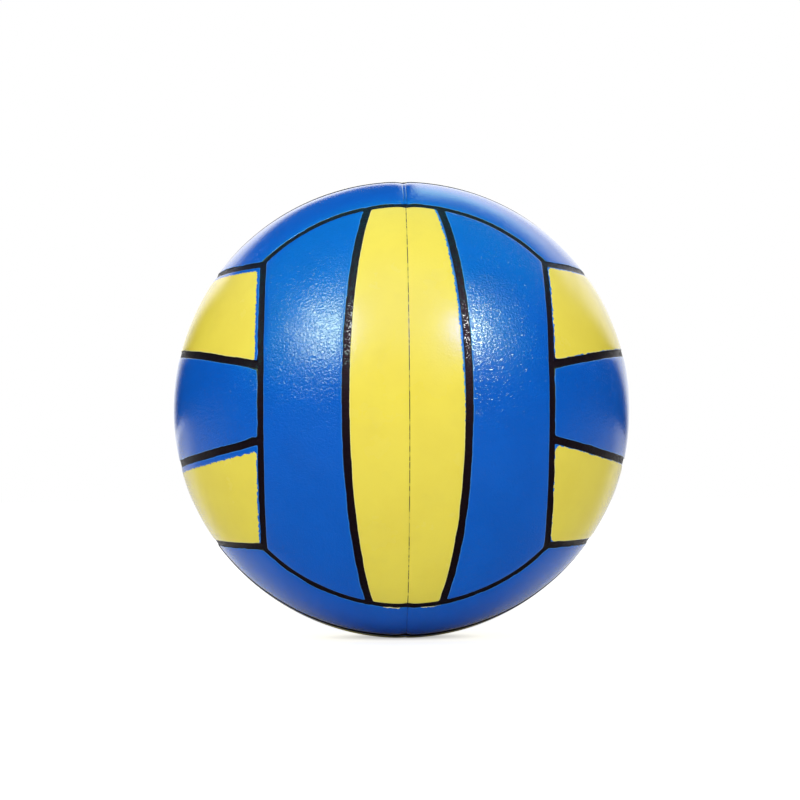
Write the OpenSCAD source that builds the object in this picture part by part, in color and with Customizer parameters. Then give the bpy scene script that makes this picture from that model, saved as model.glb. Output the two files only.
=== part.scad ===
// A moulded rubber volleyball of eighteen panels, blown up and lying free. Millimetres.
// The origin is the ball's centre, +Z is up and the face seen from the front looks along -Y.

/* [Ball] */
// Diameter of the blown-up ball over its panels
ball_d = 210; // [200:1:220]

/* [Cover] */
// Thickness of a cover panel
panel_t = 0.8; // [0.7:0.05:1.2]
// Width of the channels between the panels, wall to wall
channel_w = 3; // [2:0.1:4]
// Depth of the channels below the panels' outer face
channel_depth = 0.5; // [0.4:0.05:0.65]
// Slope of the panels' end walls, away from the line to the ball's centre
wall_draft = 12; // [6:1:20]
// Width of the line that the two mould halves leave round the ball
mould_line_w = 0.5; // [0.3:0.05:0.8]
// Depth of the mould line
mould_line_depth = 0.15; // [0.05:0.01:0.25]

/* [Panel layout] */
// Angle at the ball's centre from the middle of a face to its two seams, halfway along a strip
seam_angle = 13.8; // [12:0.1:16]
// Lean of each seam circle away from the middle plane of its face, which narrows a strip's ends
seam_lean = 13; // [10:0.1:14]
// Angle from the middle of a face to the ends of its strips: 54.7 would meet in a cube's corner
end_reach = 54.9; // [54.7:0.1:55.5]

/* [Layers under the cover] */
// Thickness of the rubber cement between the cover and the carcass
cement_t = 0.1; // [0.05:0.05:0.2]
// Thickness of the rubber carcass
carcass_t = 0.25; // [0.2:0.05:0.5]
// Thickness of the wound nylon thread
winding_t = 0.25; // [0.2:0.05:0.5]
// Thickness of the bladder
bladder_t = 0.4; // [0.3:0.05:0.8]

/* [Valve] */
// Diameter of the valve's neck, where it passes through the layers
neck_d = 6.4; // [6:0.1:8]
// Gap round the neck in each layer's hole
neck_gap = 0.1; // [0.05:0.05:0.3]
// How far the valve's face lies below the ball's surface
valve_recess = 0.35; // [0.2:0.05:0.6]
// Diameter of the flange that is bonded inside the bladder
flange_d = 30; // [24:1:40]
// Thickness of the flange
flange_t = 0.9; // [0.6:0.1:1.5]
// Diameter of the barrel that hangs inside the ball
barrel_d = 10; // [9:0.5:12]
// Length of the barrel below the flange
barrel_len = 13; // [11:0.5:18]
// Diameter of the plug's body
plug_d = 4.2; // [4:0.1:4.6]
// Diameter of the plug's head
plug_head_d = 5.2; // [5:0.1:5.4]
// Thickness of the plug's head
plug_head_t = 1.2; // [0.8:0.1:1.6]
// Diameter of the blind hole that takes the inflating needle
needle_bore_d = 2.1; // [1.8:0.05:2.4]
// Length of that hole's straight wall
needle_bore_len = 5; // [4:0.5:7]
// Diameter of the cone that leads the needle in
needle_lead_d = 3.2; // [2.8:0.1:3.6]
// Depth of that cone
needle_lead_depth = 0.5; // [0.3:0.05:0.8]
// Diameter of the shallow dish that the mould presses round the valve
dish_d = 10; // [9:0.5:14]

/* [Hidden] */
$fn = 180;
ball_r = ball_d / 2;
lining_r = ball_r - channel_depth;
cover_floor_r = ball_r - panel_t;
carcass_r = cover_floor_r - cement_t;
winding_r = carcass_r - carcass_t;
bladder_r = winding_r - winding_t;
inside_r = bladder_r - bladder_t;
// How far a cutting shape runs past what it cuts
overrun = 5;

// Half a channel's width as an angle at the ball's centre
half_channel = channel_w / 2 / ball_r * 180 / PI;
// Distance of the seams' flat planes from the ball's centre
seam_offset = ball_r * sin(seam_angle - seam_lean);

// The outer end of the valve, and where its barrel ends inside the ball
valve_face_x = ball_r - valve_recess;
valve_end_x = inside_r - flange_t - barrel_len;

blue = [0.10, 0.38, 0.78];
yellow = [0.93, 0.86, 0.33];
black = [0.08, 0.09, 0.12];

// Each face: its name, the way it looks, the way its strips lie side by side, the names of its
// three strips in that order, and their colours
FACES = [
    ["front", [0, -1, 0], [1, 0, 0], ["left", "centre", "right"], [blue, yellow, blue]],
    ["back", [0, 1, 0], [1, 0, 0], ["left", "centre", "right"], [blue, yellow, blue]],
    ["left", [-1, 0, 0], [0, 0, 1], ["bottom", "centre", "top"], [yellow, blue, yellow]],
    ["right", [1, 0, 0], [0, 0, 1], ["bottom", "centre", "top"], [yellow, blue, yellow]],
    ["top", [0, 0, 1], [0, 1, 0], ["front", "centre", "back"], [blue, yellow, blue]],
    ["bottom", [0, 0, -1], [0, 1, 0], ["front", "centre", "back"], [blue, yellow, blue]]
];
STRIPS = [0, 1, 2];
function panel_name(face, strip) = str(face[0], "_", face[3][strip], "_panel");

// A unit vector that leans from one direction towards another
function lean(from, towards, angle) = cos(angle) * from + sin(angle) * towards;

// A ball, turned so that the line where its surface closes on itself is away from the valve
module ball(r) {
    rotate([0, 0, 180])
    sphere(r);
}

// A hollow ball between two radii, with the way through it for the valve's neck
module layer(outer, inner) {
    difference() {
        ball(outer);
        ball(inner);
        valve_bar(neck_d + 2 * neck_gap, inner - overrun, ball_r + overrun);
    }
}

// All of the wall within a given angle of an axis. The side leans from the line to the ball's
// centre by the draft: out and down for a panel's own edge, up and out for what cuts into one.
module cap(axis, reach, draft) {
    edge = ball_r * [sin(reach), cos(reach)];
    side = [sin(reach + draft), cos(reach + draft)];
    foot = edge - (ball_r - inside_r + overrun) * side;
    rim = edge + 2 * overrun * side;
    ceiling = ball_r + 2 * overrun;
    rotate([0, acos(axis.z), atan2(axis.y, axis.x)])
    rotate_extrude()
    polygon([[0, foot.y], foot, rim, [rim.x, ceiling], [0, ceiling]]);
}

// All that lies beyond a flat cut at a distance from the ball's centre
module beyond(axis, distance) {
    reach = ball_r + overrun;
    rotate([0, acos(axis.z), atan2(axis.y, axis.x)])
    translate([-reach, -reach, distance])
    cube([2 * reach, 2 * reach, reach]);
}

// The part of a spherical layer that one panel covers, half a channel inside the lines round it.
// It is drawn on a face that looks along +X, with strips that run along Y and lie side by side
// along Z: strip 0 is the lowest, 1 the centre one and 2 the highest.
module plate(strip, outer, inner) {
    looks = [1, 0, 0];
    up = [0, 0, 1];
    down = [0, 0, -1];
    beside = strip == 0 ? down : up;
    difference() {
        intersection() {
            ball(outer);
            cap(looks, end_reach - half_channel, -wall_draft);
            if (strip != 1) {
                beyond(lean(beside, -looks, seam_lean), seam_offset + channel_w / 2);
            }
        }
        ball(inner);
        if (strip == 1) {
            beyond(lean(up, -looks, seam_lean), seam_offset - channel_w / 2);
            beyond(lean(down, -looks, seam_lean), seam_offset - channel_w / 2);
        } else {
            cap(beside, end_reach + half_channel, wall_draft);
        }
    }
}

// Turns what is drawn on the +X face to another face
module on_face(face) {
    looks = face[1];
    side = face[2];
    runs = cross(side, looks);
    multmatrix([for (i = [0, 1, 2]) [looks[i], runs[i], side[i], 0]])
    children();
}

// The shallow groove round the whole ball where the two mould halves met
module mould_line() {
    rotate([0, 90, 0])
    rotate_extrude()
    polygon([
        [ball_r - mould_line_depth, 0],
        [ball_r + mould_line_depth, mould_line_w],
        [ball_r + mould_line_depth, -mould_line_w]
    ]);
}

// A round bar along the valve's axis between two distances from the ball's centre
module valve_bar(d, from, to) {
    translate([from, 0, 0])
    rotate([0, 90, 0])
    cylinder(h = to - from, d = d);
}

// The dish that the mould presses round the valve's hole, down to the valve's face at the hole
module valve_dish() {
    dish_top_x = sqrt(ball_r * ball_r - dish_d * dish_d / 4);
    slope = (dish_d - neck_d) / 2 / (dish_top_x - valve_face_x);
    rise = ball_r + overrun - valve_face_x;
    translate([valve_face_x, 0, 0])
    rotate([0, 90, 0])
    cylinder(h = rise, d1 = neck_d, d2 = neck_d + 2 * rise * slope);
}

// One of the eighteen rubber panels
module cover_panel(face, strip) {
    color(face[4][strip])
    difference() {
        on_face(face) plate(strip, ball_r, cover_floor_r);
        mould_line();
        if (panel_name(face, strip) == "right_centre_panel") {
            valve_bar(neck_d + 2 * neck_gap, inside_r, ball_r + overrun);
            valve_dish();
        }
    }
}

// The black rubber floor of the channels: one net that fills the lower part of every gap
module channel_lining() {
    color(black)
    difference() {
        ball(lining_r);
        ball(cover_floor_r);
        for (face = FACES, strip = STRIPS) {
            on_face(face) plate(strip, ball_r, inside_r);
        }
    }
}

// The rubber skin that holds the winding and carries the panels
module carcass() {
    color("dimgray")
    layer(carcass_r, winding_r);
}

// The nylon thread wound over the bladder, as one layer
module thread_winding() {
    color("gainsboro")
    layer(winding_r, bladder_r);
}

// The air bladder
module bladder() {
    color("darkslategray")
    layer(bladder_r, inside_r);
}

// The valve's housing: a flange bonded inside the bladder, a barrel inwards and a neck outwards
module valve_housing() {
    // How much the bladder's inner face falls away from its pole at the barrel's edge
    barrel_sag = inside_r - sqrt(inside_r * inside_r - barrel_d * barrel_d / 4);
    color("black")
    difference() {
        union() {
            difference() {
                intersection() {
                    ball(inside_r);
                    valve_bar(flange_d, valve_end_x, ball_r);
                }
                ball(inside_r - flange_t);
            }
            valve_bar(barrel_d, valve_end_x, inside_r - flange_t / 2 - barrel_sag);
            valve_bar(neck_d, valve_end_x, valve_face_x);
        }
        valve_bar(plug_d, valve_end_x - overrun, valve_face_x + overrun);
        valve_bar(plug_head_d, valve_face_x - plug_head_t, valve_face_x + overrun);
    }
}

// The plug pushed into the housing: it seals round the needle that its blind hole leads in
module valve_plug() {
    lead_end_x = valve_face_x - needle_lead_depth;
    color("dimgray")
    difference() {
        union() {
            valve_bar(plug_d, valve_end_x, valve_face_x);
            valve_bar(plug_head_d, valve_face_x - plug_head_t, valve_face_x);
        }
        valve_bar(needle_bore_d, lead_end_x - needle_bore_len, valve_face_x + overrun);
        translate([lead_end_x, 0, 0])
        rotate([0, 90, 0])
        cylinder(h = 2 * needle_lead_depth, d1 = needle_bore_d, d2 = 2 * needle_lead_d - needle_bore_d);
    }
}

for (face = FACES, strip = STRIPS) {
    cover_panel(face, strip);
}
channel_lining();
carcass();
thread_winding();
bladder();
valve_housing();
valve_plug();
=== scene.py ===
import math

import bpy
import numpy as np
from mathutils import Matrix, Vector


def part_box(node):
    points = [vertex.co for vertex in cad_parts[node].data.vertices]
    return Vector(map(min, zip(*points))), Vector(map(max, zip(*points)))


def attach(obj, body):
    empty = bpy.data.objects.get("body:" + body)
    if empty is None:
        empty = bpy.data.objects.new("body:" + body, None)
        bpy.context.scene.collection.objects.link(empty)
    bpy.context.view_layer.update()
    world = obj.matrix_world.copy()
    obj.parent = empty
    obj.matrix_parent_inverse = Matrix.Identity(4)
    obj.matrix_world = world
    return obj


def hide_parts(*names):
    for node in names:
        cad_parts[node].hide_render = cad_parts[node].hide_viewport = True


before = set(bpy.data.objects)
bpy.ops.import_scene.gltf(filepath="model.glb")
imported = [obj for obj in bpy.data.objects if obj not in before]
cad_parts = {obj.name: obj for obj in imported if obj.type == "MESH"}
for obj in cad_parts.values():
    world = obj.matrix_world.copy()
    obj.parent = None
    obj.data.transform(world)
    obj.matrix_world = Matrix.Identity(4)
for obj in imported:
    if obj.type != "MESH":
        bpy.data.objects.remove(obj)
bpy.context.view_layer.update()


# The bladder is the air bag in the middle: butyl rubber, dipped as one even skin and dusted with
# talc so that it doesn't stick to the winding. Nothing of it shows on the blown-up ball.

BLADDER_BLACK = (0.030, 0.030, 0.034, 1)
TALC_WHITE = (0.55, 0.54, 0.52, 1)
TALC_EDGE = (-0.12, 0.3)
BLADDER_TALC = {"Cover": 0.5, "Pitch": 0.012}
BLADDER_ROUGHNESS = (0.45, 0.9)
DIP_MARK_PITCH = 0.004
DIP_MARK_DEPTH = 0.00005


def add(tree, kind, inputs=None, **settings):
    """A shader node with its settings, and each input set to a value or joined to an output."""
    made = tree.nodes.new("ShaderNode" + kind)
    for name, value in settings.items():
        setattr(made, name, value)
    for name, value in (inputs or {}).items():
        if isinstance(value, bpy.types.NodeSocket):
            tree.links.new(value, made.inputs[name])
        else:
            made.inputs[name].default_value = value
    return made


def calc(tree, operation, *values):
    """A sum of one, two or three values."""
    return add(tree, "Math", dict(enumerate(values)), operation=operation).outputs[0]


def emboss(tree, shader, height, depth, strength=1.0, socket="Normal"):
    """A relief of a given depth in metres on a material's surface, or on its clear coat."""
    bump = add(tree, "Bump", {"Height": height, "Distance": depth, "Strength": strength})
    tree.links.new(bump.outputs["Normal"], shader.inputs[socket])


def new_finish(name, **constants):
    """A material with its Principled shader. The constants are sockets that are even all over."""
    finish = bpy.data.materials.new(name)
    finish.use_nodes = True
    tree = finish.node_tree
    tree.nodes.clear()
    shader = add(tree, "BsdfPrincipled")
    for socket, value in constants.items():
        shader.inputs[socket.replace("_", " ")].default_value = value
    output = add(tree, "OutputMaterial")
    tree.links.new(shader.outputs["BSDF"], output.inputs["Surface"])
    return finish, tree, shader


def new_group(name, inputs, outputs):
    """A node group with its sockets, and the nodes at its two ends."""
    group = bpy.data.node_groups.new(name, "ShaderNodeTree")
    for socket, value in inputs.items():
        kind = "NodeSocketColor" if isinstance(value, tuple) else "NodeSocketFloat"
        made = group.interface.new_socket(socket, in_out="INPUT", socket_type=kind)
        made.default_value = value
    for socket in outputs:
        group.interface.new_socket(socket, in_out="OUTPUT", socket_type="NodeSocketFloat")
    return group, group.nodes.new("NodeGroupInput"), group.nodes.new("NodeGroupOutput")


def place(tree, group, **inputs):
    """The group as a node of a material, with the material's own values."""
    made = tree.nodes.new("ShaderNodeGroup")
    made.node_tree = group
    for name, value in inputs.items():
        socket = made.inputs[name.replace("_", " ")]
        if isinstance(value, bpy.types.NodeSocket):
            tree.links.new(value, socket)
        else:
            socket.default_value = value
    return made


def noise(tree, pitch, detail=2.0):
    """Soft noise over the ball, with a given distance in metres from one swelling to the next."""
    where = add(tree, "TexCoord").outputs["Object"]
    return add(tree, "TexNoise", {"Vector": where, "Scale": 1 / pitch, "Detail": detail}).outputs["Fac"]


def step(tree, value, low, high, to_low=0.0, to_high=1.0):
    """A soft step of a value from one level to another."""
    return add(
        tree,
        "MapRange",
        {"Value": value, "From Min": low, "From Max": high, "To Min": to_low, "To Max": to_high},
        interpolation_type="SMOOTHSTEP",
    ).outputs["Result"]


def blend(tree, share, first, second):
    """A colour between two, by a share from 0 to 1."""
    made = add(tree, "Mix", data_type="RGBA")
    for socket, value in ((0, share), (6, first), (7, second)):
        if isinstance(value, bpy.types.NodeSocket):
            tree.links.new(value, made.inputs[socket])
        else:
            made.inputs[socket].default_value = value
    return made.outputs[2]


def dress(node, finish):
    """Gives a solid that is carried over from the CAD model its material."""
    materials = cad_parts[node].data.materials
    materials.clear()
    materials.append(finish)


def talc_film():
    """Patches of talc left on rubber that was dusted while it was made."""
    group, given, result = new_group("talc film", {"Cover": 0.4, "Pitch": 0.012}, ["Mask"])
    where = add(group, "TexCoord").outputs["Object"]
    finer = calc(group, "DIVIDE", 1.0, given.outputs["Pitch"])
    cloud = add(group, "TexNoise", {"Vector": where, "Scale": finer, "Detail": 6.0}).outputs["Fac"]
    bare = calc(group, "SUBTRACT", 1.0, given.outputs["Cover"])
    lift = calc(group, "SUBTRACT", cloud, bare)
    group.links.new(step(group, lift, *TALC_EDGE), result.inputs["Mask"])
    return group


TALC_FILM = talc_film()

bladder_butyl, tree, shader = new_finish("bladder butyl", Specular_IOR_Level=0.4)
talc = place(tree, TALC_FILM, **BLADDER_TALC).outputs["Mask"]
tree.links.new(blend(tree, talc, BLADDER_BLACK, TALC_WHITE), shader.inputs["Base Color"])
tree.links.new(step(tree, talc, 0.0, 1.0, *BLADDER_ROUGHNESS), shader.inputs["Roughness"])
emboss(tree, shader, noise(tree, DIP_MARK_PITCH, 4.0), DIP_MARK_DEPTH, 0.5)
dress("bladder", bladder_butyl)


# The winding is one long nylon thread, wound over the blown-up bladder in every direction until
# it lies as an even layer. It holds the ball to its size. The carcass rubber is set over it.

NYLON_WHITE = (0.80, 0.79, 0.74, 1)
NYLON_PAINTED_SHADE = (0.42, 0.40, 0.35, 1)
THREAD_PITCH = 0.0009
THREAD_WAVINESS = 1.5
THREAD_RELIEF = 0.0001
WAVE_PERIOD = 6.3
WINDING_TURNS = ((0.0, 0.0), (0.9, 0.5), (1.9, 1.3), (2.6, 2.2), (1.2, 2.9))

wound_nylon, tree, shader = new_finish("wound nylon", Roughness=0.55, Sheen_Weight=0.25)
where = add(tree, "TexCoord").outputs["Object"]
wave_scale = 1 / THREAD_PITCH / WAVE_PERIOD
threads = None
for tilt, turn in WINDING_TURNS:
    turned = add(tree, "Mapping", {"Vector": where, "Rotation": (tilt, turn, 0.0)}).outputs["Vector"]
    wave = {"Vector": turned, "Scale": wave_scale, "Distortion": THREAD_WAVINESS, "Detail": 1.0}
    lane = add(tree, "TexWave", wave).outputs["Fac"]
    threads = calc(tree, "MAXIMUM", threads, lane) if threads else lane
# The darker tone between the thread lanes is painted shade in the grooves between the threads.
tree.links.new(blend(tree, threads, NYLON_PAINTED_SHADE, NYLON_WHITE), shader.inputs["Base Color"])
emboss(tree, shader, threads, THREAD_RELIEF, 0.8)
dress("thread_winding", wound_nylon)


# The carcass is a thin skin of natural rubber, brushed and cured over the winding. It shows the
# lie of the thread faintly, and the cover's panels are cemented to it.

CARCASS_GREY = (0.050, 0.049, 0.047, 1)
CARCASS_WORN = (0.11, 0.10, 0.09, 1)
CARCASS_TALC = {"Cover": 0.25, "Pitch": 0.02}
CARCASS_ROUGHNESS = (0.6, 0.85)
PATCH_PITCH = 0.02
BRUSH_PITCH = 0.0015
BRUSH_DEPTH = 0.00006

carcass_rubber, tree, shader = new_finish("carcass rubber", Specular_IOR_Level=0.35)
patches = noise(tree, PATCH_PITCH, 5.0)
dust = place(tree, TALC_FILM, **CARCASS_TALC).outputs["Mask"]
mottled = blend(tree, step(tree, patches, 0.35, 0.7), CARCASS_GREY, CARCASS_WORN)
tree.links.new(blend(tree, dust, mottled, TALC_WHITE), shader.inputs["Base Color"])
tree.links.new(step(tree, patches, 0.3, 0.7, *CARCASS_ROUGHNESS), shader.inputs["Roughness"])
emboss(tree, shader, noise(tree, BRUSH_PITCH, 5.0), BRUSH_DEPTH, 0.6)
dress("carcass", carcass_rubber)


# The valve's housing is one soft rubber moulding. Its flange is bonded inside the bladder, its
# barrel hangs inwards, and its neck comes out through every layer and ends just below the cover.

VALVE_BLACK = (0.018, 0.018, 0.020, 1)
VALVE_DUST = (0.16, 0.15, 0.14, 1)
VALVE_TALC = {"Cover": 0.3, "Pitch": 0.003}
VALVE_ROUGHNESS = (0.5, 0.8)
MOULD_SKIN_PITCH = 0.0006
MOULD_SKIN_DEPTH = 0.00002
VALVE_TURNS = 96
NECK_R = 0.0032
NECK_ROUNDING = 0.00035
BARREL_R = 0.005
BARREL_ROUNDING = 0.0006
FLANGE_T = 0.0009
FLANGE_STEPS = 8
PLUG_R = 0.0021
PLUG_HEAD_T = 0.0012
INSIDE_R = 0.1032
SHARP_ANGLE = math.radians(40)
NO_RADIUS = 1e-7

housing_low, housing_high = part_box("valve_housing")
plug_low, plug_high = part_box("valve_plug")
valve_face = housing_high.x
valve_foot = housing_low.x
flange_r = housing_high.z
plug_head_r = plug_high.z


def turned_piece(name, profile, turns, finish, node):
    """A piece turned about the valve's axis from (distance along it, radius), for a CAD node."""
    places, faces, rings = [], [], []
    for along, radius in profile:
        if radius < NO_RADIUS:
            rings.append([len(places)])
            places.append((along, 0.0, 0.0))
            continue
        rings.append(list(range(len(places), len(places) + turns)))
        for k in range(turns):
            angle = 2 * math.pi * k / turns
            places.append((along, radius * math.cos(angle), radius * math.sin(angle)))
    for ring, after in zip(rings, rings[1:] + ([] if len(rings[0]) == 1 else rings[:1])):
        for k in range(turns):
            n = (k + 1) % turns
            if len(ring) == 1:
                faces.append((ring[0], after[k], after[n]))
            elif len(after) == 1:
                faces.append((ring[k], after[0], ring[n]))
            else:
                faces.append((ring[k], after[k], after[n], ring[n]))
    mesh = bpy.data.meshes.new(name)
    mesh.from_pydata(places, [], faces)
    mesh.shade_smooth()
    mesh.set_sharp_from_angle(angle=SHARP_ANGLE)
    mesh.materials.append(finish)
    piece = bpy.data.objects.new(name, mesh)
    bpy.context.scene.collection.objects.link(piece)
    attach(piece, "root")
    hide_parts(node)
    return piece


def rounded_corner(along, radius, way_along, way_out, size, steps=4):
    """Points of a quarter-round corner of a turned profile, from its side round to its face."""
    centre_along = along - way_along * size
    centre_radius = radius - way_out * size
    corner = []
    for k in range(steps + 1):
        angle = math.pi / 2 * k / steps
        shift_along = way_along * size * math.sin(angle)
        shift_out = way_out * size * math.cos(angle)
        corner.append((centre_along + shift_along, centre_radius + shift_out))
    return corner


def bladder_depth(radius, below):
    """How far along the valve's axis a layer's inner face lies, at a distance from that axis."""
    return math.sqrt((INSIDE_R - below) ** 2 - radius**2)


valve_rubber, tree, shader = new_finish("valve rubber", Specular_IOR_Level=0.4)
rubbed = place(tree, TALC_FILM, **VALVE_TALC).outputs["Mask"]
tree.links.new(blend(tree, rubbed, VALVE_BLACK, VALVE_DUST), shader.inputs["Base Color"])
tree.links.new(step(tree, rubbed, 0.0, 1.0, *VALVE_ROUGHNESS), shader.inputs["Roughness"])
emboss(tree, shader, noise(tree, MOULD_SKIN_PITCH, 3.0), MOULD_SKIN_DEPTH, 0.6)

head_foot = valve_face - PLUG_HEAD_T
flange_steps = [BARREL_R + (flange_r - BARREL_R) * k / FLANGE_STEPS for k in range(FLANGE_STEPS + 1)]
housing_profile = [(valve_foot, PLUG_R)]
housing_profile += reversed(rounded_corner(valve_foot, BARREL_R, -1, 1, BARREL_ROUNDING))
housing_profile += [(bladder_depth(radius, FLANGE_T), radius) for radius in flange_steps]
housing_profile += [(bladder_depth(radius, 0), radius) for radius in reversed(flange_steps)]
housing_profile += [(bladder_depth(NECK_R, 0), NECK_R)]
housing_profile += rounded_corner(valve_face, NECK_R, 1, 1, NECK_ROUNDING)
housing_profile += [(valve_face, plug_head_r), (head_foot, plug_head_r), (head_foot, PLUG_R)]
turned_piece(
    "valve_housing_moulding", housing_profile, VALVE_TURNS, valve_rubber, "valve_housing"
)


# The plug is a core of softer rubber, pushed into the housing from outside. Its blind hole leads
# the inflating needle in, and beyond it the rubber is slit and closes by itself.

PLUG_GREY = (0.055, 0.055, 0.060, 1)
PLUG_SHEEN = (0.13, 0.13, 0.13, 1)
PLUG_TALC = {"Cover": 0.35, "Pitch": 0.002}
PLUG_ROUGHNESS = (0.45, 0.7)
PLUG_SKIN_PITCH = 0.0005
PLUG_SKIN_DEPTH = 0.00002
PLUG_ROUNDING = 0.0003
PLUG_FOOT_ROUNDING = 0.0002
PLUG_HEAD_GAP = 0.00002
NEEDLE_LEAD_R = 0.0016
NEEDLE_LEAD_DEPTH = 0.0005
NEEDLE_BORE_R = 0.00105
NEEDLE_BORE_LEN = 0.005

plug_rubber, tree, shader = new_finish("plug rubber", Specular_IOR_Level=0.45)
handled = place(tree, TALC_FILM, **PLUG_TALC).outputs["Mask"]
tree.links.new(blend(tree, handled, PLUG_GREY, PLUG_SHEEN), shader.inputs["Base Color"])
tree.links.new(step(tree, handled, 0.0, 1.0, *PLUG_ROUGHNESS), shader.inputs["Roughness"])
emboss(tree, shader, noise(tree, PLUG_SKIN_PITCH, 3.0), PLUG_SKIN_DEPTH, 0.5)

head_r = plug_head_r - PLUG_HEAD_GAP
lead_end = valve_face - NEEDLE_LEAD_DEPTH
bore_end = lead_end - NEEDLE_BORE_LEN
plug_profile = [(plug_low.x, 0.0)]
plug_profile += reversed(rounded_corner(plug_low.x, PLUG_R, -1, 1, PLUG_FOOT_ROUNDING))
plug_profile += [(head_foot, PLUG_R), (head_foot, head_r)]
plug_profile += rounded_corner(valve_face, head_r, 1, 1, PLUG_ROUNDING)
plug_profile += [(valve_face, NEEDLE_LEAD_R), (lead_end, NEEDLE_BORE_R), (bore_end, NEEDLE_BORE_R)]
plug_profile += [(bore_end - NEEDLE_BORE_R / 2, 0.0)]
turned_piece("valve_plug_core", plug_profile, VALVE_TURNS, plug_rubber, "valve_plug")


# The cover is eighteen panels of moulded rubber, three to a face, cemented to the carcass. Each
# has rounded shoulders down to the channels round it. The mould's two halves met in the plane
# x = 0 and left a fine line there, which is deepest where it runs out over a panel's shoulder.

BALL_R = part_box("top_centre_panel")[1].z
PANEL_T = 0.0008
CHANNEL_W = 0.003
CHANNEL_DEPTH = 0.0005
SEAM_ANGLE = math.radians(13.8)
SEAM_LEAN = math.radians(13)
END_REACH = math.radians(54.9)
HALF_CHANNEL = CHANNEL_W / 2 / BALL_R
SEAM_OFFSET = BALL_R * math.sin(SEAM_ANGLE - SEAM_LEAN)

SHOULDER_R = 0.0003
CORNER_R = 0.0009
CROWN_H = 0.0002
CROWN_LEN = 0.0010
WALL_SLOPE = 0.5
WALL_FLARE = 0.0001
SHOULDER_STEPS = [0.0, 0.00005, 0.00011, 0.00018, 0.00026, 0.00036, 0.0005, 0.0008, 0.0013, 0.002, 0.003]
EVEN_STEP = 0.0022
OUTER_STRIP_ROWS = 49

HAND_WANDER = 0.00007
WANDER_WAVES = ((0.03, 1, (11, 12, 13)), (0.009, 3, (21, 22, 23)))
UNEVEN = 0.00005
UNEVEN_PITCH = 0.02
UNEVEN_SEED = 31
RIPPLE_WAVES = 14
RIPPLE_HEIGHT = 4
THIN_SHARE = {"front_1": 1.0}
THIN_ELSEWHERE = 0.25

LINE_W = 0.0005
LINE_DEPTH = 0.00015
DOUBLE_GAP = 0.0013
LINE_VALLEY_W = 0.0018
LINE_VALLEY_DEPTH = 0.00005
NICK_LEN = 0.0012
NICK_W = 0.0028
NICK_DEPTH = 0.0004
DIP_LEN = 0.013
DIP_W = 0.0048
DIP_DEPTH = 0.00042
DEEPEST = 0.00062
DOUBLE_SHALLOWER = 0.5
LINE_X = 0.0007
LINE_STEPS = [0.0, 0.0001, 0.0002, 0.0003, 0.00045, 0.00055, 0.00062, 0.0007, 0.00078, 0.00085, 0.00095]
LINE_STEPS += [0.0011, 0.00122, 0.00135, 0.00148, 0.0016, 0.0021, 0.0028, 0.0036]

DISH_R = 0.005
DISH_HOLLOW = 0.6
DISH_BLEND = 1.3
HOLE_R = 0.0033
HOLE_ROUNDING = 0.00012
HOLE_ROUNDING_W = 0.0003
DISH_SQUARE = 0.008
DISH_CELLS = 16
DISH_RINGS = [0.0072, 0.0064, 0.0058, 0.0054, 0.0051, 0.0049, 0.0045, 0.0040, 0.0037, 0.0035, 0.0034]
DISH_RINGS += [HOLE_R]

FACES = {
    "front": ((0, -1, 0), (1, 0, 0), ("left", "centre", "right"), ("blue", "yellow", "blue")),
    "back": ((0, 1, 0), (1, 0, 0), ("left", "centre", "right"), ("blue", "yellow", "blue")),
    "left": ((-1, 0, 0), (0, 0, 1), ("bottom", "centre", "top"), ("yellow", "blue", "yellow")),
    "right": ((1, 0, 0), (0, 0, 1), ("bottom", "centre", "top"), ("yellow", "blue", "yellow")),
    "top": ((0, 0, 1), (0, 1, 0), ("front", "centre", "back"), ("blue", "yellow", "blue")),
    "bottom": ((0, 0, -1), (0, 1, 0), ("front", "centre", "back"), ("blue", "yellow", "blue")),
}


def turn_to(face):
    """The matrix that turns what is drawn on the +X face, with strips along Y, to another face."""
    looks, side = (np.array(way, float) for way in FACES[face][:2])
    return np.column_stack([looks, np.cross(side, looks), side])


def seam_edge(side, gap, way):
    """A strip's edge at a seam: the axis of the seam's circle, its angle and the panel's side of it."""
    axis = (-math.sin(SEAM_LEAN), 0, side * math.cos(SEAM_LEAN))
    return axis, math.acos((SEAM_OFFSET + gap) / BALL_R), way


def strip_edges(strip):
    """A strip's low and high edge. The way is 1 for a panel outside the circle, and -1 inside."""
    half = CHANNEL_W / 2
    outer = END_REACH + HALF_CHANNEL
    if strip == 0:
        return ((0, 0, -1), outer, 1), seam_edge(-1, half, -1)
    if strip == 1:
        return seam_edge(-1, -half, 1), seam_edge(1, -half, 1)
    return seam_edge(1, half, -1), ((0, 0, 1), outer, 1)


END_EDGE = ((1, 0, 0), END_REACH - HALF_CHANNEL, -1)


def edge_plane(edge, inset):
    """The plane that cuts the ball at a distance in from an edge, its positive side on the panel."""
    axis, angle, way = edge
    offset = BALL_R * math.cos(angle + way * inset / BALL_R)
    return -way * np.array([*axis, -offset], float)


def fan(first, last, count):
    """Planes between two that face each other, each the same share of the way across."""
    return [(1 - k / count) * first - k / count * last for k in range(1, count)]


def row_planes(strip, steps, marks):
    """The planes that cut a panel into rows, from its low edge to its high one, and at marks."""
    low, high = strip_edges(strip)
    low_rows = [edge_plane(low, inset) for inset in steps]
    high_rows = [edge_plane(high, inset) for inset in reversed(steps)]
    middle = [np.array([0, 0, 1, -mark], float) for mark in marks]
    if not middle:
        count = round(2 * BALL_R * SEAM_ANGLE / EVEN_STEP) if strip == 1 else OUTER_STRIP_ROWS
        return low_rows + fan(low_rows[-1], high_rows[0], count) + high_rows
    count = round((BALL_R * SEAM_ANGLE - steps[-1] - marks[-1]) / EVEN_STEP)
    return (
        low_rows
        + fan(low_rows[-1], -middle[0], count)
        + middle
        + fan(middle[-1], high_rows[0], count)
        + high_rows
    )


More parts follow.
